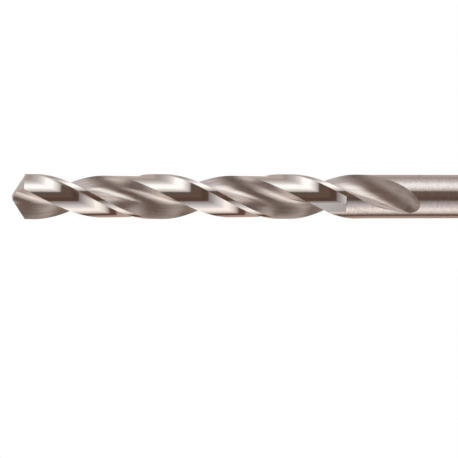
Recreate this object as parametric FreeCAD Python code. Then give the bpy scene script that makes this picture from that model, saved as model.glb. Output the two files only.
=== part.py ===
import FreeCAD, Part
import math
import os

# A two-flute twist drill with a parallel shank: one piece of tool steel, right-hand helix.
# Frame: origin at the middle of the shank's flat end, +Z along the axis to the point.
# The cutting lips lie along X. A distance s runs from the point down the axis, to the shank.
# Sections are drawn as seen from the point: a leading edge is at angle 0, and the flute that
# the lip cuts into is on its + side, the land on its - side. The second half is turned by 180.

# Lengths along the axis and diameters, in millimetres; angles in degrees
overall_length = 125.0
flute_length = 81.3
body_diameter = 9.0
shank_diameter = 8.82
shank_chamfer = 0.75
helix_angle = 28.96

# The point: one flank behind each lip, each part of a cone whose axis is beside the drill's
point_angle = 115.0
flank_offset = 1.5
chisel_angle = 135.0

# The land: a narrow margin at full diameter, a flat, then an arc down to the heel
margin_angle = 12.9
land_angle = 82.15
relief_depth = 0.36
relief_centre_x = -0.113
relief_centre_y = -0.065

# The flute: a straight rake face, a valley arc that touches the web, and a wide back arc
web_thickness = 1.58
web_growth = 0.010
rake_lean = 5.9
valley_radius = 2.3
back_radius = 5.6

# The run-out, with lengths back from the flutes' end: the body stops there with the relief of its
# lands and tapers to the shank, the rake face stays in one plane, and the back arc rises out
body_before_end = 14.9
relief_end_angle = 56.1
taper_length = 5.0
rake_plane_length = 8.9
rake_plane_fall = 0.236
rake_softness = 1.0
rise_length = 14.7
rise_power = 2.5
exit_angle = 66.2
runout_valley_radius = 0.35
valley_change_length = 4.0

# Room for the cutters outside the metal, and the spacing of the sections they follow
outside = 2.7
overrun = 1.5
past_flute = 0.6
past_heel = 8.0
sector_angle = 60.0
station_step = 1.0

body_radius = body_diameter / 2
shank_radius = shank_diameter / 2
relief_radius = body_radius - relief_depth
relief_centre = (relief_centre_x, relief_centre_y)
lead = math.pi * body_diameter / math.tan(math.radians(helix_angle))
turn_per_mm = 360.0 / lead
cone_slope = 1 / math.tan(math.radians(point_angle / 2))
closing_radius = body_radius + outside
body_length = flute_length - body_before_end
rake_plane_start = flute_length - rake_plane_length
rise_start = flute_length - rise_length
origin = (0.0, 0.0)


def polar(radius, degrees):
    angle = math.radians(degrees)
    return (radius * math.cos(angle), radius * math.sin(angle))


def moved(point, direction, distance):
    return (point[0] + distance * direction[0], point[1] + distance * direction[1])


def distance_between(first, second):
    return math.hypot(second[0] - first[0], second[1] - first[1])


def direction_to(first, second):
    gap = distance_between(first, second)
    return ((second[0] - first[0]) / gap, (second[1] - first[1]) / gap)


def dot(first, second):
    return first[0] * second[0] + first[1] * second[1]


def circles_meet(first, first_radius, second, second_radius, side):
    # Where two circles cross: side 1 is left of the line from first to second, -1 is right of it
    gap = distance_between(first, second)
    ahead = direction_to(first, second)
    along = (gap ** 2 + first_radius ** 2 - second_radius ** 2) / (2 * gap)
    across = side * math.sqrt(first_radius ** 2 - along ** 2)
    return moved(moved(first, ahead, along), (-ahead[1], ahead[0]), across)


def soft_ramp(value):
    # Nearly zero below 0 and nearly the value above it, with a rounded start
    return (value + math.hypot(value, rake_softness)) / 2


# The flank cone's axis is set off square to the chisel edge, ahead of the lip
lip_angle = math.degrees(math.asin(web_thickness / 2 / body_radius))
flank_centre = polar(flank_offset, 180.0 - chisel_angle + 90.0)
corner = polar(body_radius, lip_angle)
corner_depth = cone_slope * (distance_between(flank_centre, corner) - flank_offset)


def helix_turn(s):
    # How far the leading edge has turned at distance s: at the outer corners it starts each lip
    return lip_angle - turn_per_mm * (s - corner_depth)


def placed(point, s):
    # A section point turned to its place on the helix
    angle = math.radians(helix_turn(s))
    x = point[0] * math.cos(angle) - point[1] * math.sin(angle)
    y = point[0] * math.sin(angle) + point[1] * math.cos(angle)
    return FreeCAD.Vector(x, y, overall_length - s)


def line(start, end, s):
    return Part.LineSegment(placed(start, s), placed(end, s)).toShape()


def short_arc(centre, radius, start, end, s):
    # The shorter arc of a circle between two of its points
    middle = ((start[0] + end[0]) / 2, (start[1] + end[1]) / 2)
    top = moved(centre, direction_to(centre, middle), radius)
    return Part.Arc(placed(start, s), placed(top, s), placed(end, s)).toShape()


def relief_circle_point(angle):
    # Where a ray from the axis at this angle leaves the land's relief circle
    ray = polar(1.0, angle)
    along = dot(relief_centre, ray)
    off_ray = relief_centre[0] * ray[1] - relief_centre[1] * ray[0]
    return polar(along + math.sqrt(relief_radius ** 2 - off_ray ** 2), angle)


def relief_wire(s):
    # What is ground off a land: a flat that starts at the margin, then an arc to just past the heel
    margin_edge = polar(body_radius, -margin_angle)
    gap = distance_between(relief_centre, margin_edge)
    toward = direction_to(relief_centre, margin_edge)
    flat_end_angle = math.degrees(math.atan2(toward[1], toward[0]) - math.acos(relief_radius / gap))
    flat_end = moved(relief_centre, polar(1.0, flat_end_angle), relief_radius)
    flat_normal = polar(1.0, flat_end_angle)
    height = dot(margin_edge, flat_normal)
    outer_swing = math.degrees(math.acos(height / closing_radius))
    flat_start = polar(closing_radius, flat_end_angle + outer_swing)
    arc_end = relief_circle_point(-land_angle - past_heel)
    outer = polar(closing_radius, -land_angle - past_heel)
    return Part.Wire([
        line(flat_start, flat_end, s),
        short_arc(relief_centre, relief_radius, flat_end, arc_end, s),
        line(arc_end, outer, s),
        short_arc(origin, closing_radius, outer, flat_start, s),
    ])


def rake_line(s):
    # The direction square to the rake face, and the face's distance from the axis along it
    held = soft_ramp(s - rake_plane_start) - soft_ramp(-rake_plane_start)
    normal_angle = 90.0 - rake_lean + turn_per_mm * held
    distance = body_radius * math.sin(math.radians(rake_lean)) - rake_plane_fall * held
    return normal_angle, distance


def steady_back_centre(s):
    # The back arc's centre: the arc meets the heel and touches the valley arc, which touches the web
    web = web_thickness + web_growth * s
    normal_angle, distance = rake_line(0.0)
    height = distance + valley_radius
    reach = math.sqrt((web / 2 + valley_radius) ** 2 - height ** 2)
    valley = moved(polar(height, normal_angle), polar(1.0, normal_angle - 90.0), reach)
    heel = relief_circle_point(-land_angle)
    next_heel = (-heel[0], -heel[1])
    return circles_meet(next_heel, back_radius, valley, back_radius - valley_radius, 1)


def flute_wire(s):
    # What a cutter takes out of one flute at distance s, closed outside the metal
    normal_angle, distance = rake_line(s)
    normal = polar(1.0, normal_angle)
    along = polar(1.0, normal_angle - 90.0)

    steady = steady_back_centre(s)
    exit_centre = polar(shank_radius + back_radius, exit_angle)
    rise = max(0.0, (s - rise_start) / rise_length) ** rise_power
    back = moved(steady, (exit_centre[0] - steady[0], exit_centre[1] - steady[1]), rise)

    change = min(1.0, max(0.0, (s - rise_start) / valley_change_length))
    eased = 3 * change ** 2 - 2 * change ** 3
    small = valley_radius + eased * (runout_valley_radius - valley_radius)
    height = distance + small
    across = math.sqrt((back_radius - small) ** 2 - (dot(back, normal) - height) ** 2)
    valley = moved(polar(height, normal_angle), along, dot(back, along) - across)

    rake_touch = moved(valley, normal, -small)
    back_touch = moved(valley, direction_to(back, valley), small)
    rake_out = moved(polar(distance, normal_angle), along, math.sqrt(closing_radius ** 2 - distance ** 2))
    back_out = circles_meet(origin, closing_radius, back, back_radius, 1)
    return Part.Wire([
        line(rake_out, rake_touch, s),
        short_arc(valley, small, rake_touch, back_touch, s),
        short_arc(back, back_radius, back_touch, back_out, s),
        short_arc(origin, closing_radius, back_out, rake_out, s),
    ])


def helical_tool(wire_at, start, end):
    # A solid through the cutter's outlines, from one distance down to another
    count = math.ceil((end - start) / station_step)
    wires = [wire_at(start + (end - start) * index / count) for index in range(count + 1)]
    return Part.makeLoft(wires, True, False)


def relief_tool():
    # Towards its end the relief stops short of the heel, at a wall that stands along the axis
    swept = helical_tool(relief_wire, -overrun, body_length)
    wall_turn = helix_turn(body_length) - relief_end_angle
    height = sector_angle / turn_per_mm
    sector = Part.makeCylinder(closing_radius + overrun, height, FreeCAD.Vector(0, 0, 0),
                               FreeCAD.Vector(0, 0, 1), sector_angle)
    sector.rotate(FreeCAD.Vector(0, 0, 0), FreeCAD.Vector(0, 0, 1), wall_turn - sector_angle)
    sector.translate(FreeCAD.Vector(0, 0, overall_length - body_length - overrun))
    return swept.cut(sector)


def half_turned(shape):
    copy = shape.copy()
    copy.rotate(FreeCAD.Vector(0, 0, 0), FreeCAD.Vector(0, 0, 1), 180)
    return copy


def shank_waste():
    # What is turned off the bar to leave the chamfered shank and its taper up to the body
    taper_end = overall_length - body_length
    taper_start = taper_end - taper_length
    outline = [
        (shank_radius - shank_chamfer, 0.0),
        (shank_radius, shank_chamfer),
        (shank_radius, taper_start),
        (body_radius, taper_end),
        (closing_radius, taper_end),
        (closing_radius, 0.0),
    ]
    corners = [FreeCAD.Vector(radius, 0, height) for radius, height in outline]
    face = Part.Face(Part.makePolygon(corners + corners[:1]))
    return face.revolve(FreeCAD.Vector(0, 0, 0), FreeCAD.Vector(0, 0, 1), 360)


def flank_cone():
    # The cone that the first lip's flank is ground to, down to the shank's end
    apex_height = overall_length + flank_offset * cone_slope
    cone = Part.makeCone(apex_height / cone_slope, 0, apex_height)
    cone.translate(FreeCAD.Vector(flank_centre[0], flank_centre[1], 0))
    return cone


def drill():
    shape = Part.makeCylinder(body_radius, overall_length)
    steady_flute = helical_tool(flute_wire, -overrun, rise_start)
    runout = helical_tool(flute_wire, rise_start, flute_length + past_flute)
    for tool in (steady_flute, runout, relief_tool()):
        shape = shape.cut(tool).cut(half_turned(tool))
    cone = flank_cone()
    shape = shape.common(cone).common(half_turned(cone))
    shape = shape.cut(shank_waste())
    return shape.Solids[0]


drill_bit = drill()
os.makedirs("parts", exist_ok=True)
drill_bit.exportStep("parts/drill_bit.step")
box = drill_bit.optimalBoundingBox(True)
print("drill_bit", "valid" if drill_bit.isValid() else "not valid", len(drill_bit.Faces), "faces")
print("volume %.1f mm3, height %.2f, width %.2f x %.2f" % (drill_bit.Volume, box.ZLength, box.XLength, box.YLength))
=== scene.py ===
import bpy
import math
from mathutils import Matrix, Vector


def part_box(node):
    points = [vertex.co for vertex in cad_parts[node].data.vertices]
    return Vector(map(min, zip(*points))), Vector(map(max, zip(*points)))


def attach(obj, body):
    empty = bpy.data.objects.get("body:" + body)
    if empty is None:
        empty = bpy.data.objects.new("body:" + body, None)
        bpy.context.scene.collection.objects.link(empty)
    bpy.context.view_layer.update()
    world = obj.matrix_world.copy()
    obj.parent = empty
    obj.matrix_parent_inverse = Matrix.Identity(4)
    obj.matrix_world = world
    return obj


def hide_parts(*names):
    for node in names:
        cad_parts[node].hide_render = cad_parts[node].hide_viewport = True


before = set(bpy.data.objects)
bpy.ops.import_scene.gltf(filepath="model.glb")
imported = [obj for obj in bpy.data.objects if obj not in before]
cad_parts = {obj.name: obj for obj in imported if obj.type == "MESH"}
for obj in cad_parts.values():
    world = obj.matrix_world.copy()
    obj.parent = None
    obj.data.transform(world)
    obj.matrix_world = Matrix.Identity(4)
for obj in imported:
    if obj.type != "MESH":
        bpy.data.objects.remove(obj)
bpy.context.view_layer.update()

mm = 0.001
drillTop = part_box("drill_bit")[1].z / mm  # height of the point above the shank's end, in mm

# The drill's sizes in mm and degrees. A distance s runs from the point down to the shank. Sections are
# drawn as seen from the point, with a leading edge at angle 0, its land behind it and a flute ahead of it.
drill = {
    "fluteLength": 81.3, "bodyDiameter": 9.0, "shankDiameter": 8.82, "shankChamfer": 0.75,
    "helixAngle": 28.96, "pointAngle": 115.0, "flankOffset": 1.5, "chiselAngle": 135.0,
    "marginAngle": 12.9, "landAngle": 82.15, "reliefDepth": 0.36, "reliefCentre": (-0.113, -0.065),
    "webThickness": 1.58, "webGrowth": 0.010, "rakeLean": 5.9, "valleyRadius": 2.3, "backRadius": 5.6,
    "bodyBeforeEnd": 14.9, "reliefEndAngle": 56.1, "shoulderAngle": 26.0, "taperLength": 5.0,
    "rakePlaneLength": 8.9, "rakePlaneFall": 0.236, "rakeSoftness": 1.0, "riseLength": 14.7,
    "risePower": 2.5, "exitAngle": 66.2, "runoutValleyRadius": 0.35, "valleyChangeLength": 4.0,
}
# How finely the mesh follows those sizes: counts across, and steps in mm along
fineness = {
    "margin": 5, "flat": 8, "reliefArc": 18, "wall": 9, "strip": 12, "beforeChisel": 34, "afterChisel": 34,
    "tipSteps": 14, "tipLength": 6.0, "bodyStep": 0.42, "runoutStep": 0.22,
    "shankCount": 144, "shankStep": 1.2,
}

barRadius = drill["bodyDiameter"] / 2
shankRadius = drill["shankDiameter"] / 2
turnPerMm = 360 * math.tan(math.radians(drill["helixAngle"])) / (math.pi * drill["bodyDiameter"])
coneSlope = 1 / math.tan(math.radians(drill["pointAngle"] / 2))
reliefRadius = barRadius - drill["reliefDepth"]
bodyLength = drill["fluteLength"] - drill["bodyBeforeEnd"]
rakePlaneStart = drill["fluteLength"] - drill["rakePlaneLength"]
riseStart = drill["fluteLength"] - drill["riseLength"]
closingRadius = barRadius + 2.7  # well outside the metal


def polar(radius, degrees):
    angle = math.radians(degrees)
    return Vector((radius * math.cos(angle), radius * math.sin(angle)))


def angleOf(point):
    return math.degrees(math.atan2(point.y, point.x))


def turned(point, degrees):
    c, s = math.cos(math.radians(degrees)), math.sin(math.radians(degrees))
    return Vector((point.x * c - point.y * s, point.x * s + point.y * c))


def circlesMeet(first, firstRadius, second, secondRadius):
    gap = (second - first).length
    ahead = (second - first) / gap
    along = (gap ** 2 + firstRadius ** 2 - secondRadius ** 2) / (2 * gap)
    return first + ahead * along + Vector((-ahead.y, ahead.x)) * math.sqrt(firstRadius ** 2 - along ** 2)


def softRamp(value):
    return (value + math.hypot(value, drill["rakeSoftness"])) / 2


def metalRadius(s):  # the bar, the taper down to the shank, and the shank
    fall = min(1.0, max(0.0, (s - bodyLength) / drill["taperLength"]))
    return barRadius + fall * (shankRadius - barRadius)


reliefCentre = Vector(drill["reliefCentre"])


def reliefPoint(angle):
    ray = polar(1, angle)
    offRay = reliefCentre.x * ray.y - reliefCentre.y * ray.x
    return ray * (reliefCentre.dot(ray) + math.sqrt(reliefRadius ** 2 - offRay ** 2))


def rakeLine(s):
    held = softRamp(s - rakePlaneStart) - softRamp(-rakePlaneStart)
    distance = barRadius * math.sin(math.radians(drill["rakeLean"])) - drill["rakePlaneFall"] * held
    return 90 - drill["rakeLean"] + turnPerMm * held, distance


def steadyBackCentre(s):
    web = drill["webThickness"] + drill["webGrowth"] * s
    normalAngle, distance = rakeLine(0)
    height = distance + drill["valleyRadius"]
    reach = math.sqrt((web / 2 + drill["valleyRadius"]) ** 2 - height ** 2)
    valley = polar(height, normalAngle) + polar(reach, normalAngle - 90)
    nextHeel = -reliefPoint(-drill["landAngle"])
    return circlesMeet(nextHeel, drill["backRadius"], valley, drill["backRadius"] - drill["valleyRadius"])


def arc(centre, radius, start, end):  # a function of 0..1 along the shorter arc
    first = angleOf(start - centre)
    sweep = (angleOf(end - centre) - first + 180) % 360 - 180
    return lambda share: centre + polar(radius, first + sweep * share)


def fluteCurve(s):  # a function of 0..3: the back arc, the valley arc, then the rake line
    normalAngle, distance = rakeLine(s)
    normal, along = polar(1, normalAngle), polar(1, normalAngle - 90)
    steady = steadyBackCentre(s)
    rise = max(0.0, (s - riseStart) / drill["riseLength"]) ** drill["risePower"]
    back = steady + (polar(shankRadius + drill["backRadius"], drill["exitAngle"]) - steady) * rise
    change = min(1.0, max(0.0, (s - riseStart) / drill["valleyChangeLength"]))
    eased = 3 * change ** 2 - 2 * change ** 3
    small = drill["valleyRadius"] + eased * (drill["runoutValleyRadius"] - drill["valleyRadius"])
    height = distance + small
    across = math.sqrt((drill["backRadius"] - small) ** 2 - (back.dot(normal) - height) ** 2)
    valley = normal * height + along * (back.dot(along) - across)
    rakeTouch = valley - normal * small
    backTouch = valley + (valley - back).normalized() * small
    rakeOut = normal * distance + along * math.sqrt(closingRadius ** 2 - distance ** 2)
    backOut = circlesMeet(Vector((0, 0)), closingRadius, back, drill["backRadius"])
    backArc = arc(back, drill["backRadius"], backOut, backTouch)
    valleyArc = arc(valley, small, backTouch, rakeTouch)

    def at(share):
        if share <= 1:
            return backArc(share)
        if share <= 2:
            return valleyArc(share - 1)
        return rakeTouch.lerp(rakeOut, share - 2)
    return at


def reliefWall(s):  # how far behind the leading edge the relief stops, at a wall that stands along the axis
    return drill["reliefEndAngle"] + turnPerMm * (bodyLength - s)


def heelRise(s):  # the relief rises to that wall over a flat slope: how much of it has passed the heel
    slope = drill["shoulderAngle"]
    return min(1.0, max(0.0, (drill["landAngle"] + slope - reliefWall(s)) / slope))


def heelRadius(s):
    if heelRise(s) == 1:
        return metalRadius(s)
    wall, ray = reliefWall(s), polar(1, -drill["landAngle"])
    foot = reliefPoint(-min(wall - drill["shoulderAngle"], drill["landAngle"]))
    rise = polar(barRadius, -wall) - foot
    return (foot - rise * (foot.cross(ray) / rise.cross(ray))).length


def halve(test, low, high):  # where a test that holds at low stops holding
    for halving in range(36):
        middle = (low + high) / 2
        low, high = (middle, high) if test(middle) else (low, middle)
    return (low + high) / 2


def fluteSpan(s):  # the shares of the flute's curve that lie in the metal, or None past the run-out
    at, radius = fluteCurve(s), metalRadius(s)
    lowest = min((n * 0.05 for n in range(61)), key=lambda share: at(share).length)  # nearest to the axis
    if at(lowest).length >= radius:
        return None
    start = halve(lambda share: at(share).length > heelRadius(s), 0, lowest)
    end = halve(lambda share: at(share).length < radius, lowest, 3)
    return at, start, end


# The point: each flank is part of a cone whose axis is beside the drill's
lipAngle = math.degrees(math.asin(drill["webThickness"] / 2 / barRadius))
flankCentre = polar(drill["flankOffset"], 270 - drill["chiselAngle"])
cornerDepth = coneSlope * ((polar(barRadius, lipAngle) - flankCentre).length - drill["flankOffset"])


def placed(point, s):
    return turned(point, lipAngle - turnPerMm * (s - cornerDepth))


def flankDepth(point, centre):
    return coneSlope * ((point - centre).length - drill["flankOffset"])


def pointDepth(point):
    return max(flankDepth(point, flankCentre), flankDepth(point, -flankCentre))


def onPoint(lineAt):  # the distance s at which a line of the body meets the flank cones
    s = 2.0
    for closer in range(30):
        s = pointDepth(placed(lineAt(s), s))
    return s


def pastChisel(share):  # whether this share of the flute's curve is past the end of the chisel edge
    def lineAt(s):
        return fluteCurve(s)(share)

    s = onPoint(lineAt)
    point = placed(lineAt(s), s)
    return flankDepth(point, flankCentre) < flankDepth(point, -flankCentre)


chiselShare = halve(pastChisel, 0.6, 2.6)
print("chisel edge ends at share", round(chiselShare, 3), "of the flute's curve")

marginEdge = polar(barRadius, -drill["marginAngle"])
towardMargin = marginEdge - reliefCentre
flatNormal = angleOf(towardMargin) - math.degrees(math.acos(reliefRadius / towardMargin.length))
flatEnd = reliefCentre + polar(reliefRadius, flatNormal)


def spread(first, last, count):
    return [first + (last - first) * (index + 1) / count for index in range(count)]


def heelAngle(point, leading):
    return leading - (leading - angleOf(point)) % 360


def landPoints(s, heel):  # the body's land at s, from its leading edge to the heel, where a flute starts
    wall = reliefWall(s)
    foot = min(wall - drill["shoulderAngle"], drill["landAngle"])
    points = [polar(barRadius, angle) for angle in [0] + spread(0, -drill["marginAngle"], fineness["margin"])]
    points += [marginEdge.lerp(flatEnd, share) for share in spread(0, 1, fineness["flat"])]
    points += [reliefPoint(angle) for angle in spread(angleOf(flatEnd), -foot, fineness["reliefArc"])]
    if heelRise(s) == 0:
        return points[:-1] + [heel] * (1 + fineness["wall"] + fineness["strip"])
    top = polar(barRadius, -wall) if heelRise(s) == 1 else heel
    points += [points[-1].lerp(top, share) for share in spread(0, 1, fineness["wall"])]
    if heelRise(s) < 1:
        return points[:-1] + [heel] * (1 + fineness["strip"])
    strip = spread(-wall, heelAngle(heel, 0), fineness["strip"])
    return points + [polar(barRadius, angle) for angle in strip]


landCount = sum(fineness[stretch] for stretch in ("margin", "flat", "reliefArc", "wall", "strip"))
fluteCount = fineness["beforeChisel"] + fineness["afterChisel"]


def shankShares():  # the land's points past the body's end keep their shares of its width
    at, start, end = fluteSpan(bodyLength)
    heel = -at(start)
    return [-((-angleOf(point)) % 360) / heelAngle(heel, 0) for point in landPoints(bodyLength, heel)]


def halfSection(s):  # from a leading edge over its land to the heel, then through the next flute
    span = fluteSpan(s)
    if span is None:
        exitAngle = drill["exitAngle"]
        points = [polar(metalRadius(s), exitAngle - 180 * share) for share in endShares]
        return points + [points[-1]] * (fluteCount - 1)
    at, start, end = span
    middle = min(max(chiselShare, start), end)
    shares = [start] + spread(start, middle, fineness["beforeChisel"])
    shares += spread(middle, end, fineness["afterChisel"])[:-1]
    curve = [-at(share) for share in shares]
    if s <= bodyLength:
        return landPoints(s, curve[0])[:-1] + curve
    leading = angleOf(at(end))
    heel = heelAngle(curve[0], leading)
    return [polar(metalRadius(s), leading + (heel - leading) * share) for share in endShares[:-1]] + curve


endShares = shankShares()
lineCount = landCount + fluteCount
lineGap = 0.15  # mm between two lines, for the texture coordinates


class MeshMaker:  # collects points and faces, joining points that coincide
    def __init__(self):
        self.points, self.faces, self.labels, self.places, self.known = [], [], [], [], {}

    def point(self, flat, height):
        key = (round(flat.x, 5), round(flat.y, 5), round(height, 5))
        if key not in self.known:
            self.known[key] = len(self.points)
            self.points.append((flat.x * mm, flat.y * mm, (drillTop - height) * mm))
        return self.known[key]

    def face(self, corners, label, places):
        pairs = enumerate(zip(corners, places))
        kept = [(corner, place) for n, (corner, place) in pairs if corner != corners[n - 1]]
        if len(kept) > 2 and len({corner for corner, place in kept}) == len(kept):
            self.faces.append([corner for corner, place in kept[::-1]])  # turned to face outwards
            self.places.append([place for corner, place in kept[::-1]])
            self.labels.append(label)


def bodyLabel(index, s):
    if index >= landCount:
        return "flute"
    if s > bodyLength:
        return "bar"
    if index < fineness["margin"]:
        return "margin"
    relieved = fineness["margin"] + fineness["flat"] + fineness["reliefArc"]
    if index < relieved:
        return "land"
    return "wall" if index < relieved + fineness["wall"] else "strip"


def steps(start, end, size):
    return spread(start, end, max(1, round((end - start) / size)))


def wholeRing(s):
    half = halfSection(s)
    return [placed(point, s) for point in half] + [placed(-point, s) for point in half]


def joinRings(maker, upper, lower, labelAt):
    count = len(upper)
    for index in range(count):
        after = (index + 1) % count
        corners = [upper[index], lower[index], lower[after], upper[after]]
        across = [index * lineGap, index * lineGap, (index + 1) * lineGap, (index + 1) * lineGap]
        places = [(side, maker.points[corner][2] / mm) for side, corner in zip(across, corners)]
        maker.face(corners, labelAt(index % lineCount), places)


def tipRings():  # the body's lines where they meet the flank cones, and their way down from there
    lines = []
    for index in range(lineCount):
        def lineAt(s, index=index):
            return halfSection(s)[index]
        lines.append((lineAt, onPoint(lineAt)))
    rings = []
    for step in range(fineness["tipSteps"] + 1):
        share = step / fineness["tipSteps"]
        flat, heights = [], []
        for lineAt, first in lines:
            s = first + (fineness["tipLength"] - first) * share
            flat.append(placed(lineAt(s), s))
            heights.append(s)
        rings.append(list(zip(flat + [-point for point in flat], heights * 2)))
    return rings


def addFlank(maker, ring, turn):  # one flank, by blending between its lip, chisel edge, land and heel
    def side(index):
        return ring[(index + turn) % (2 * lineCount)][0]

    before, after = fineness["beforeChisel"], fineness["afterChisel"]
    lip = [side(-after + n) for n in range(after + 1)]
    back = [side(landCount + before - n) for n in range(before + 1)]
    land = [side(n) for n in range(landCount + 1)]
    chisel = [lip[0].lerp(back[0], n / landCount) for n in range(landCount + 1)]
    half = 1 if turn == 0 else -1
    centre = flankCentre * half
    grid = []
    for n in range(after + 1):
        u = n / after
        row = []
        for m in range(landCount + 1):
            v = m / landCount
            point = lip[n] * (1 - v) + back[n] * v + chisel[m] * (1 - u) + land[m] * u
            twice = lip[0] * (1 - u) * (1 - v) + back[0] * (1 - u) * v + lip[-1] * u * (1 - v)
            point -= twice + back[-1] * u * v  # the corners, which both pairs of sides have counted
            row.append(maker.point(point, flankDepth(point, centre)))
        grid.append(row)
    for n in range(after):
        for m in range(landCount):
            corners = [grid[n][m], grid[n][m + 1], grid[n + 1][m + 1], grid[n + 1][m]]
            reaches = [(Vector(maker.points[corner][:2]) / mm - centre) * half for corner in corners]
            places = [(reach.length, math.atan2(reach.y, reach.x) * reach.length) for reach in reaches]
            maker.face(corners[::-1], "flank", places[::-1])


def zipRings(maker, upper, lower, label):  # joins two rings of one circle that have different counts
    def angle(index):
        return math.atan2(maker.points[index][1], maker.points[index][0])

    upper = sorted(set(upper), key=angle)
    lower = sorted(set(lower), key=angle)
    upperAngles = [angle(i) for i in upper] + [angle(upper[0]) + 2 * math.pi]
    lowerAngles = [angle(i) for i in lower] + [angle(lower[0]) + 2 * math.pi]
    i = j = 0
    while i < len(upper) or j < len(lower):
        a, b = upper[i % len(upper)], lower[j % len(lower)]
        if j >= len(lower) or (i < len(upper) and upperAngles[i + 1] < lowerAngles[j + 1]):
            corners = [a, upper[(i + 1) % len(upper)], b]
            i += 1
        else:
            corners = [a, lower[(j + 1) % len(lower)], b]
            j += 1
        places = [(angle(corner) * shankRadius, maker.points[corner][2] / mm) for corner in corners]
        maker.face(corners, label, places)


justPast = 1e-7  # keeps a ring on one side of a change in the section


def makeDrill():
    maker = MeshMaker()
    tip = tipRings()
    for turn in (0, lineCount):
        addFlank(maker, tip[0], turn)
    rings = [[maker.point(point, height) for point, height in ring] for ring in tip]
    for upper, lower in zip(rings, rings[1:]):
        joinRings(maker, upper, lower, lambda index: bodyLabel(index, 1.0))
    last = rings[-1]
    rampAngle = drill["landAngle"] + drill["shoulderAngle"] - drill["reliefEndAngle"]
    rampStart = bodyLength - rampAngle / turnPerMm
    closed = drill["fluteLength"] + 0.4  # the flutes have run out here
    plain = closed + 0.8  # and here the rings are plain circles
    stretches = [
        (fineness["tipLength"], rampStart, fineness["bodyStep"]),
        (rampStart, bodyLength, fineness["runoutStep"]),
        (bodyLength, closed, fineness["runoutStep"]),
    ]
    for start, end, size in stretches:
        if start == bodyLength:  # the relief ends at once here, at a wall square to the axis
            ring = [maker.point(point, start) for point in wholeRing(start + justPast)]
            joinRings(maker, last, ring, lambda index: "step")
            last = ring
        for s in steps(start, end, size):
            ring = [maker.point(point, s) for point in wholeRing(s - justPast)]
            joinRings(maker, last, ring, lambda index, s=s: bodyLabel(index, s - justPast))
            last = ring
    count = fineness["shankCount"]
    chamferTop = drillTop - drill["shankChamfer"]
    endRadius = shankRadius - drill["shankChamfer"]
    outline = [(s, shankRadius, "bar") for s in [plain] + steps(plain, chamferTop, fineness["shankStep"])]
    outline.append((drillTop, endRadius, "chamfer"))
    outline += [(drillTop, endRadius * share, "end") for share in (0.66, 0.33)]
    for n, (s, radius, label) in enumerate(outline):
        ring = [maker.point(polar(radius, -360 * m / count), s) for m in range(count)]
        if n == 0:
            zipRings(maker, last, ring, "bar")
        else:
            for m in range(count):
                corners = [last[m], ring[m], ring[(m + 1) % count], last[(m + 1) % count]]
                places = [(math.radians(360 * place / count) * radius, s) for place in (m, m, m + 1, m + 1)]
                maker.face(corners, label, places)
        last = ring
    centre = maker.point(Vector((0, 0)), drillTop)
    for m in range(count):
        maker.face([last[m], centre, last[(m + 1) % count]], "end", [(0, 0)] * 3)
    return maker


maker = makeDrill()
print("drill mesh:", len(maker.points), "points,", len(maker.faces), "faces")

roundKinds = ("margin", "bar", "strip")  # these shade smoothly into each other, and the rest meet at edges


def drillObject(maker):
    mesh = bpy.data.meshes.new("twistDrill")
    mesh.from_pydata(maker.points, [], maker.faces)
    layer = mesh.uv_layers.new(name="grinding")
    places = [place for face in maker.places for place in face]
    for loop, place in zip(layer.data, places):
        loop.uv = place
    mesh.polygons.foreach_set("use_smooth", [True] * len(mesh.polygons))
    owners = {}
    for face, label in zip(maker.faces, maker.labels):
        kind = "round" if label in roundKinds else label
        for n, corner in enumerate(face):
            owners.setdefault(tuple(sorted((corner, face[n - 1]))), set()).add(kind)
    for edge in mesh.edges:
        edge.use_edge_sharp = len(owners.get(tuple(sorted(edge.vertices)), ())) > 1
    thing = bpy.data.objects.new("twistDrill", mesh)
    bpy.context.scene.collection.objects.link(thing)
    return thing


drillPiece = drillObject(maker)


class Sock:  # a shader socket that takes part in sums
    def __init__(self, tree, socket):
        self.tree, self.socket = tree, socket

    def maths(self, operation, other=None, swap=False):
        node = self.tree.nodes.new("ShaderNodeMath")
        node.operation = operation
        pair = [self, other][::-1] if swap else [self, other]
        for slot, value in zip(node.inputs, pair):
            if isinstance(value, Sock):
                self.tree.links.new(value.socket, slot)
            elif value is not None:
                slot.default_value = value
        return Sock(self.tree, node.outputs[0])

    def __add__(self, other):
        return self.maths("ADD", other)

    def __sub__(self, other):
        return self.maths("SUBTRACT", other)

    def __rsub__(self, other):
        return self.maths("SUBTRACT", other, swap=True)

    def __mul__(self, other):
        return self.maths("MULTIPLY", other)

    def __truediv__(self, other):
        return self.maths("DIVIDE", other)

    def __rtruediv__(self, other):
        return self.maths("DIVIDE", other, swap=True)

    __radd__ = __add__
    __rmul__ = __mul__


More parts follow.
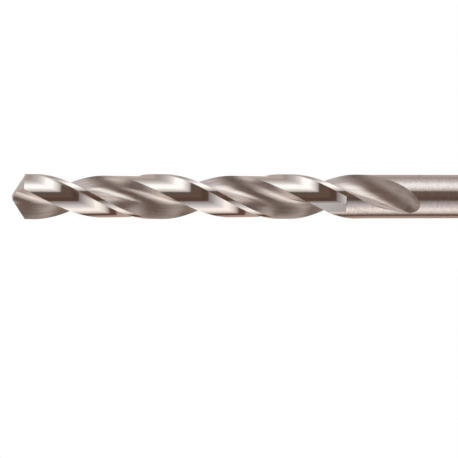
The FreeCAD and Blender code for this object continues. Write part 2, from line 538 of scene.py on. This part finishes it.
class Shader:  # a node tree with one way to add any node
    def __init__(self, owner):
        owner.use_nodes = True
        self.tree = owner.node_tree
        self.tree.nodes.clear()

    def node(self, kind, settings=None, **sockets):  # a socket goes by its name, or by i and its number
        made = self.tree.nodes.new("ShaderNode" + kind)
        for name, value in (settings or {}).items():
            if name == "stops":
                ramp = made.color_ramp
                while len(ramp.elements) > 1:
                    ramp.elements.remove(ramp.elements[-1])
                for n, (place, colour) in enumerate(value):
                    element = ramp.elements[0] if n == 0 else ramp.elements.new(place)
                    element.position = place
                    element.color = (*colour, 1)
            else:
                setattr(made, name, value)
        for name, value in sockets.items():
            numbered = name[0] == "i" and name[1:].isdigit()
            slot = made.inputs[int(name[1:]) if numbered else name.replace("_", " ")]
            if isinstance(value, Sock):
                self.tree.links.new(value.socket, slot)
            else:
                slot.default_value = value
        return made

    def out(self, made, name=0):
        return Sock(self.tree, made.outputs[name])

    def between(self, share, first, second):  # from one colour to another, each of them fixed or a socket
        first, second = (end if isinstance(end, Sock) else (*end, 1) for end in (first, second))
        return self.out(self.node("Mix", {"data_type": "RGBA"}, i0=share, i6=first, i7=second), 2)

    def stretch(self, value, low, high):  # 0 below low, 1 above high, and straight between them
        return self.out(self.node("MapRange", Value=value, From_Min=low, From_Max=high))

    def rising(self, value, low, high):  # the same with a smooth start and end
        smooth = {"interpolation_type": "SMOOTHSTEP"}
        return self.out(self.node("MapRange", smooth, Value=value, From_Min=low, From_Max=high))


hazeRoughness = 0.55


class Finish(Shader):  # a material, with its coordinates at hand
    def __init__(self, name):
        self.material = bpy.data.materials.new(name)
        super().__init__(self.material)
        place = self.node("TexCoord")
        self.object, self.uv = self.out(place, "Object"), self.out(place, "UV")

    def untwisted(self):  # the coordinates with the helix taken out, so that a flute stands straight
        height = self.out(self.node("SeparateXYZ", Vector=self.object), 2)
        turn = height * (-math.radians(turnPerMm) / mm)
        straight = self.node("VectorRotate", {"rotation_type": "Z_AXIS"}, Vector=self.object, Angle=turn)
        return self.out(straight)

    def marks(self, coordinates, scale, detail=2.0, seed=0.0):  # noise, finer along an axis of larger scale
        place = self.out(self.node("Mapping", Vector=coordinates, Scale=scale, Location=(seed, seed, seed)))
        return self.out(self.node("TexNoise", Vector=place, Scale=1.0, Detail=detail, Roughness=0.6))

    def metal(self, look, shade, stains, marks):  # stains change the roughness, and marks the relief
        normal = self.out(self.node("Bump", Height=marks, Strength=1.0, Distance=look["depth"] * mm))
        common = {"Base_Color": self.between(shade, *look["colours"]), "Metallic": 1.0, "Normal": normal}
        roughness = look["roughness"] + stains * look["rougher"]
        surface = self.out(self.node("BsdfPrincipled", Roughness=roughness, **common))
        if look["haze"]:
            broad = self.out(self.node("BsdfPrincipled", Roughness=hazeRoughness, **common))
            surface = self.out(self.node("MixShader", i0=look["haze"], i1=surface, i2=broad))
        self.node("OutputMaterial", Surface=surface)
        return self.material


def perMetre(x, y, z):  # from waves per mm on each axis
    return (x / mm, y / mm, z / mm)


# The steel's finishes. Each has two colours that its shade mixes, its roughness and what stains add to it,
# the depth of its marks in mm, and the share of the light that spreads much wider.
steel = {
    "land": {
        "colours": ((0.745, 0.735, 0.73), (0.785, 0.775, 0.76)),
        "roughness": 0.05, "rougher": 0.03, "depth": 0.00035, "haze": 0.02,
    },
    "flute": {
        "colours": ((0.65, 0.605, 0.59), (0.93, 0.88, 0.855)),
        "roughness": 0.14, "rougher": 0.16, "depth": 0.012, "haze": 0.30,
    },
    "shank": {
        "colours": ((0.645, 0.615, 0.605), (0.775, 0.745, 0.735)),
        "roughness": 0.09, "rougher": 0.07, "depth": 0.0018, "haze": 0.17,
    },
    "point": {
        "colours": ((0.72, 0.68, 0.66), (0.84, 0.80, 0.78)),
        "roughness": 0.24, "rougher": 0.12, "depth": 0.006, "haze": 0.2,
    },
    "chamfer": {
        "colours": ((0.085, 0.075, 0.07), (0.19, 0.165, 0.15)),
        "roughness": 0.34, "rougher": 0.2, "depth": 0.006, "haze": 0.0,
    },
    "end": {
        "colours": ((0.48, 0.45, 0.43), (0.62, 0.59, 0.57)),
        "roughness": 0.32, "rougher": 0.12, "depth": 0.01, "haze": 0.2,
    },
}


def landFinish():  # polished, with a few faint wheel marks round the drill
    finish = Finish("polishedLands")
    rings = finish.marks(finish.object, perMetre(0.15, 0.15, 5.0), detail=3.0)
    patches = finish.marks(finish.object, perMetre(0.5, 0.5, 0.35), seed=7.0)
    return finish.metal(steel["land"], finish.stretch(patches, 0.35, 0.65), rings, rings)


def fluteFinish():  # ground along the flute by a coarser wheel
    finish = Finish("groundFlutes")
    straight = finish.untwisted()
    streaks = finish.marks(straight, perMetre(1.9, 1.9, 0.14), detail=4.0)
    patches = finish.marks(straight, perMetre(0.6, 0.6, 0.25), seed=3.0)
    shade = finish.stretch(streaks * 0.6 + patches * 0.4, 0.36, 0.64)
    return finish.metal(steel["flute"], shade, patches, streaks)


def shankFinish():  # satin, ground round the axis
    finish = Finish("satinShank")
    rings = finish.marks(finish.object, perMetre(0.6, 0.6, 5.0), detail=3.0)
    speckle = finish.marks(finish.object, perMetre(1.7, 1.7, 2.4), seed=5.0)
    shade = finish.stretch(rings * 0.5 + speckle * 0.5, 0.38, 0.62)
    return finish.metal(steel["shank"], shade, speckle, speckle)


def pointFinish():  # the flanks, with the wheel's arcs round each flank's own cone
    finish = Finish("groundPoint")
    arcs = finish.marks(finish.uv, (6.0, 0.35, 1.0), detail=3.0)
    return finish.metal(steel["point"], finish.stretch(arcs, 0.36, 0.64), arcs, arcs)


def chamferFinish():  # left dark by the hardening
    finish = Finish("darkChamfer")
    turning = finish.marks(finish.object, perMetre(0.8, 0.8, 8.0), detail=3.0)
    patches = finish.marks(finish.object, perMetre(0.7, 0.7, 0.7), seed=2.0)
    return finish.metal(steel["chamfer"], finish.stretch(patches, 0.35, 0.7), patches, turning)


def endFinish():  # turned flat: the marks are rings round the middle
    finish = Finish("turnedEnd")
    flat = finish.node("Mapping", Vector=finish.object, Scale=(1.0, 1.0, 0.0))
    outward = finish.node("VectorMath", {"operation": "LENGTH"}, i0=finish.out(flat))
    rings = finish.marks(finish.out(outward, "Value"), perMetre(7.0, 7.0, 7.0), detail=3.0)
    return finish.metal(steel["end"], finish.stretch(rings, 0.36, 0.64), rings, rings)


# Each finish, and the kinds of face that have it
finishes = {
    landFinish: ("margin", "land", "wall"),
    fluteFinish: ("flute",),
    pointFinish: ("flank",),
    chamferFinish: ("chamfer",),
    endFinish: ("end",),
    shankFinish: ("bar", "strip", "step"),
}
for slot, (makeFinish, kinds) in enumerate(finishes.items()):
    drillPiece.data.materials.append(makeFinish())
    for polygon, label in zip(drillPiece.data.polygons, maker.labels):
        if label in kinds:
            polygon.material_index = slot
print("finishes on the drill:", len(drillPiece.data.materials))

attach(drillPiece, "root")
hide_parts("drill_bit")

# The photograph's camera: across the drill, with the point to the left, in mm and degrees
viewing = {
    "distance": 340.0, "sideways": -46.72,  # to a spot on the drill's axis: how far ahead, and to the right
    "tipAlong": -1.02,  # that spot, up from the point
    "yaw": 4.682,  # how far the camera turns from square on towards the shank
    "edgeAhead": 120.67,  # from the camera round to the leading edge, level with the point
    "frame": 458, "focal": 1711.668, "axisX": 252.185, "axisY": 196.587,  # these four in pixels
    "sensor": 36.0,
}
viewing["azimuth"] = lipAngle + turnPerMm * cornerDepth - viewing["edgeAhead"]


def placeCamera():
    look, yaw = viewing, math.radians(viewing["yaw"])
    toward = Vector((*polar(1, look["azimuth"]), 0))
    up = Vector((*polar(1, look["azimuth"] + 90), 0))
    down = Vector((0, 0, -1))

    def inFrame(x, y, z):
        return down * x + up * y + toward * z

    right = inFrame(math.cos(yaw), 0, math.sin(yaw))
    backward = inFrame(-math.sin(yaw), 0, math.cos(yaw))
    alongAxis = -look["sideways"] * math.cos(yaw) - look["distance"] * math.sin(yaw)
    away = -look["sideways"] * math.sin(yaw) + look["distance"] * math.cos(yaw)
    origin = Vector((0, 0, (drillTop + look["tipAlong"]) * mm))
    data = bpy.data.cameras.new("camera")
    camera = bpy.data.objects.new("camera", data)
    bpy.context.scene.collection.objects.link(camera)
    axes = Matrix((right, up, backward)).transposed()
    camera.matrix_world = Matrix.Translation(origin + inFrame(alongAxis, 0, away) * mm) @ axes.to_4x4()
    data.sensor_width = look["sensor"]
    data.lens = look["focal"] * look["sensor"] / look["frame"]
    data.shift_x = (look["frame"] / 2 - look["axisX"]) / look["frame"]
    data.shift_y = (look["axisY"] - look["frame"] / 2) / look["frame"]
    data.clip_start, data.clip_end = 0.01, 10
    bpy.context.scene.camera = camera


placeCamera()
print("camera at azimuth", round(viewing["azimuth"], 1))

# The studio wraps round the drill. Elevations are degrees round its axis, 0 towards the camera and
# 90 upwards in the picture; tilts are degrees out of the plane square to the axis, down the drill.
# The boxes are level with the drill, the upper room is past its point and the lower one past its
# shank, and right behind the drill the steel mirrors plain white.
studio = {
    "boxTilts": (-22, 15), "boxEdge": 7, "roomTilts": (-10, 4), "whiteBehind": (165, 172),
    "boxes": [
        (-180, (0.54, 0.42, 0.34)), (-130, (0.50, 0.37, 0.30)), (-124, (0.14, 0.066, 0.050)),
        (-109, (0.15, 0.071, 0.055)), (-103, (0.50, 0.40, 0.34)), (-96, (0.84, 0.73, 0.67)),
        (-80, (1.25, 1.14, 1.04)), (-69, (1.27, 1.16, 1.07)), (-58, (0.93, 0.85, 0.82)),
        (-44, (0.67, 0.62, 0.61)), (-31, (0.42, 0.37, 0.36)), (-23, (0.30, 0.25, 0.24)),
        (-21, (0.12, 0.073, 0.055)), (-8, (0.10, 0.062, 0.043)), (4, (0.165, 0.09, 0.063)),
        (20, (0.135, 0.09, 0.07)), (27, (0.125, 0.10, 0.08)), (31, (0.58, 0.50, 0.46)),
        (42, (1.00, 0.93, 0.88)), (54, (1.36, 1.33, 1.28)), (70, (1.32, 1.29, 1.25)),
        (80, (0.99, 0.91, 0.88)), (95, (0.66, 0.60, 0.58)), (118, (0.42, 0.36, 0.33)),
        (134, (0.60, 0.49, 0.43)), (160, (0.54, 0.42, 0.34)),
    ],
    "upperRoom": [
        (-180, (0.60, 0.54, 0.51)), (-150, (0.29, 0.26, 0.24)), (-120, (0.25, 0.21, 0.19)),
        (-90, (0.18, 0.13, 0.11)), (-62, (0.34, 0.28, 0.26)), (-42, (0.37, 0.31, 0.29)),
        (-26, (0.26, 0.21, 0.19)), (0, (0.11, 0.08, 0.06)), (30, (0.32, 0.26, 0.24)),
        (60, (0.66, 0.61, 0.60)), (90, (0.56, 0.52, 0.51)), (120, (0.41, 0.36, 0.35)),
        (150, (0.48, 0.43, 0.41)),
    ],
    "lowerRoom": [
        (-180, (0.66, 0.62, 0.59)), (-150, (0.36, 0.32, 0.29)), (-120, (0.26, 0.22, 0.19)),
        (-90, (0.16, 0.10, 0.07)), (-60, (0.44, 0.38, 0.35)), (-30, (0.29, 0.24, 0.21)),
        (0, (0.15, 0.11, 0.09)), (30, (0.16, 0.11, 0.08)), (60, (0.19, 0.13, 0.11)),
        (90, (0.18, 0.12, 0.09)), (120, (0.15, 0.09, 0.07)), (150, (0.30, 0.25, 0.22)),
    ],
    "pointLight": {"tilts": (-74, -60), "colour": (1.0, 0.90, 0.85)},
    "endLight": {"tilts": (52, 66), "colour": (0.70, 0.67, 0.65)},
}


def makeStudio():
    world = bpy.data.worlds.new("studio")
    bpy.context.scene.world = world
    shader = Shader(world)
    parts = shader.node("SeparateXYZ", Vector=shader.out(shader.node("TexCoord"), "Generated"))
    around = shader.out(parts, 1).maths("ARCTAN2", shader.out(parts, 0))
    degrees = around * (180 / math.pi) - (viewing["azimuth"] - 180) + 720  # two turns more keep it above 0
    turn = degrees.maths("MODULO", 360.0) / 360  # 0 and 1 behind the drill, 0.5 on the camera's side
    tilt = shader.out(parts, 2).maths("ARCSINE") * (-180 / math.pi)

    def wrapped(name):  # a colour for each elevation, joined up behind the drill
        stops = [((elevation + 180) / 360, colour) for elevation, colour in studio[name]]
        return shader.out(shader.node("ValToRGB", {"stops": stops + [(1.0, stops[0][1])]}, Fac=turn))

    rooms = wrapped("upperRoom"), wrapped("lowerRoom")
    room = shader.between(shader.rising(tilt, *studio["roomTilts"]), *rooms)
    edge = studio["boxEdge"] / 2
    top, bottom = (shader.rising(tilt, at - edge, at + edge) for at in studio["boxTilts"])
    colour = shader.between(top * (1 - bottom), room, wrapped("boxes"))
    ahead, below = studio["pointLight"], studio["endLight"]
    colour = shader.between(1 - shader.rising(tilt, *ahead["tilts"]), colour, ahead["colour"])
    colour = shader.between(shader.rising(tilt, *below["tilts"]), colour, below["colour"])

    path = shader.node("LightPath")
    first, full = (angle / 180 for angle in studio["whiteBehind"])
    behind = shader.rising((turn - 0.5).maths("ABSOLUTE") * 2, first, full)
    white = shader.out(path, "Is Camera Ray") + shader.out(path, "Is Transmission Ray")
    white = white + shader.out(path, "Is Glossy Ray") * behind
    lit = shader.node("Background", Color=colour, Strength=1.0)
    seen = shader.node("Background", Color=(1, 1, 1, 1), Strength=1.0)
    mix = shader.node("MixShader", i0=white, i1=shader.out(lit), i2=shader.out(seen))
    shader.node("OutputWorld", Surface=shader.out(mix))


makeStudio()
print("studio made")

# A round floor that the drill stands on, in mm. Towards its edge it fades into the white behind it.
floor = {"radius": 170.0, "count": 96, "fadeFrom": 55.0, "fadeTo": 150.0, "colour": (0.90, 0.90, 0.90)}


def makeFloor():
    ring = [polar(floor["radius"] * mm, 360 * n / floor["count"]) for n in range(floor["count"])]
    mesh = bpy.data.meshes.new("floor")
    mesh.from_pydata([(0, 0, 0)] + [(point.x, point.y, 0) for point in ring], [],
                     [(0, n + 1, (n + 1) % floor["count"] + 1) for n in range(floor["count"])])
    disc = bpy.data.objects.new("floor", mesh)
    bpy.context.scene.collection.objects.link(disc)
    surface = Finish("floorPaper")
    outward = surface.out(surface.node("VectorMath", {"operation": "LENGTH"}, i0=surface.object), "Value")
    fade = surface.rising(outward, floor["fadeFrom"] * mm, floor["fadeTo"] * mm)
    path = surface.node("LightPath")
    straight = surface.out(path, "Is Camera Ray") + surface.out(path, "Is Transmission Ray")
    paper = surface.node("BsdfPrincipled", Base_Color=(*floor["colour"], 1), Roughness=0.9)
    white = surface.node("Emission", Color=(1, 1, 1, 1), Strength=1.0)
    mix = surface.node("MixShader", i0=straight * fade, i1=surface.out(paper), i2=surface.out(white))
    surface.node("OutputMaterial", Surface=surface.out(mix))
    mesh.materials.append(surface.material)
    disc.visible_glossy = False  # the steel shows the studio's own colours there


makeFloor()

# A soft lamp for the floor's shadow, in metres. The steel doesn't mirror it.
lamp = {"size": 0.20, "power": 1.7, "colour": (0.88, 0.95, 1.0), "place": (0.16, -0.12, 0.50)}


def makeLamp():
    data = bpy.data.lights.new("softLamp", "AREA")
    data.shape, data.size, data.energy = "DISK", lamp["size"], lamp["power"]
    data.color = lamp["colour"]
    thing = bpy.data.objects.new("softLamp", data)
    bpy.context.scene.collection.objects.link(thing)
    place = Vector(lamp["place"])
    thing.matrix_world = Matrix.Translation(place) @ place.to_track_quat("Z", "Y").to_matrix().to_4x4()
    thing.visible_glossy = thing.visible_camera = thing.visible_transmission = False


makeLamp()
print("floor and lamp made")

bpy.context.scene.view_settings.view_transform = "Standard"
